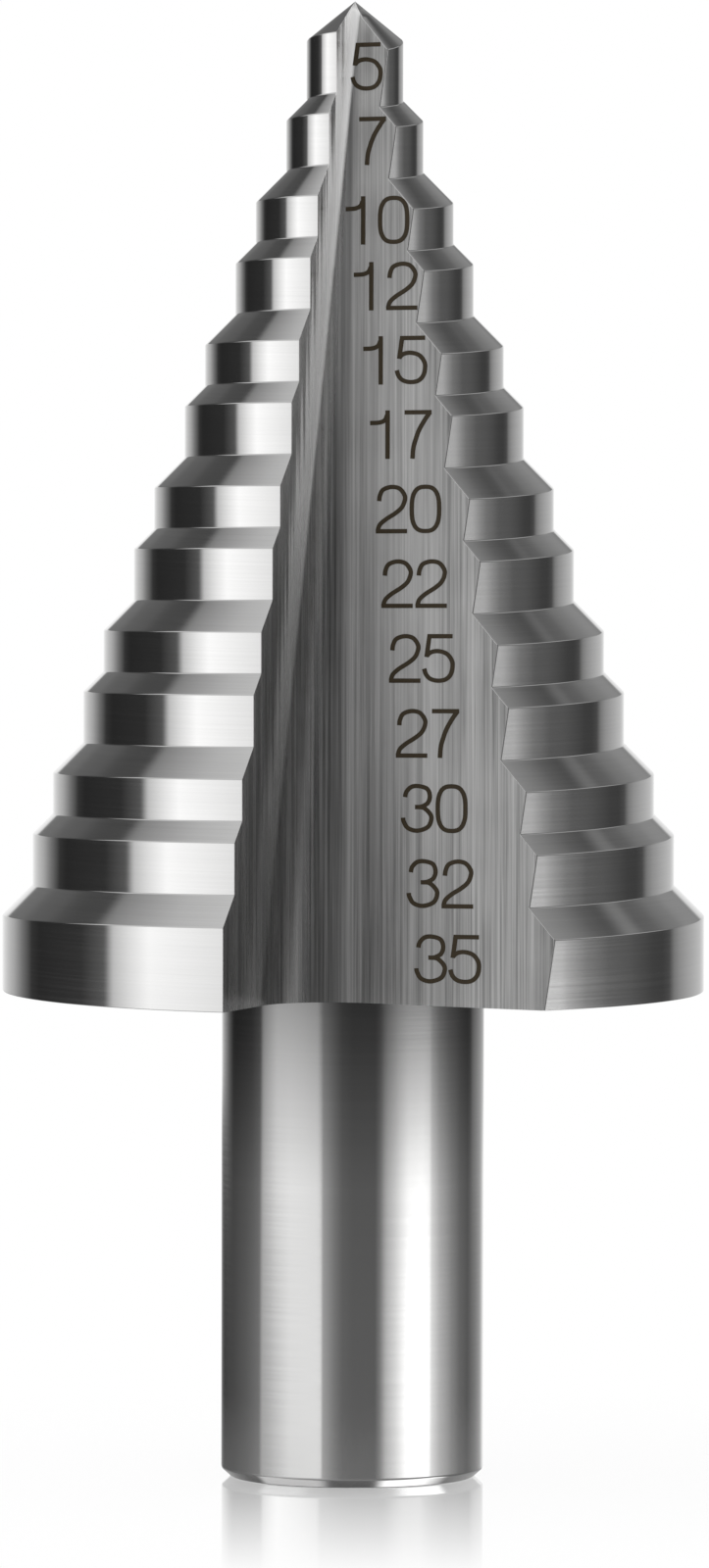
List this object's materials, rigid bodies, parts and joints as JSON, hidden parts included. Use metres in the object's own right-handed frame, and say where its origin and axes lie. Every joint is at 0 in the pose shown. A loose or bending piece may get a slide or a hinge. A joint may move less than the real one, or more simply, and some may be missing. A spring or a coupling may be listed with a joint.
{
  "type": "step drill bit",
  "caption": "Stepped conical drill bit with chamfered steps, two straight V-shaped chip flutes, a sharp point and a plain round shank.",
  "frame": {"origin": "centre of the flat end of the shank", "axes": "+Z along the drill's axis toward its point, -Y toward the front as pictured, with the front cutting edge 21 degrees left of it"},
  "size_m": [0.0348, 0.0326, 0.0731],
  "materials": {
    "steel": "ground and polished bare high-speed steel"
  },
  "bodies": {
    "root": {"drill_bit": "steel"}
  },
  "joints": []
}
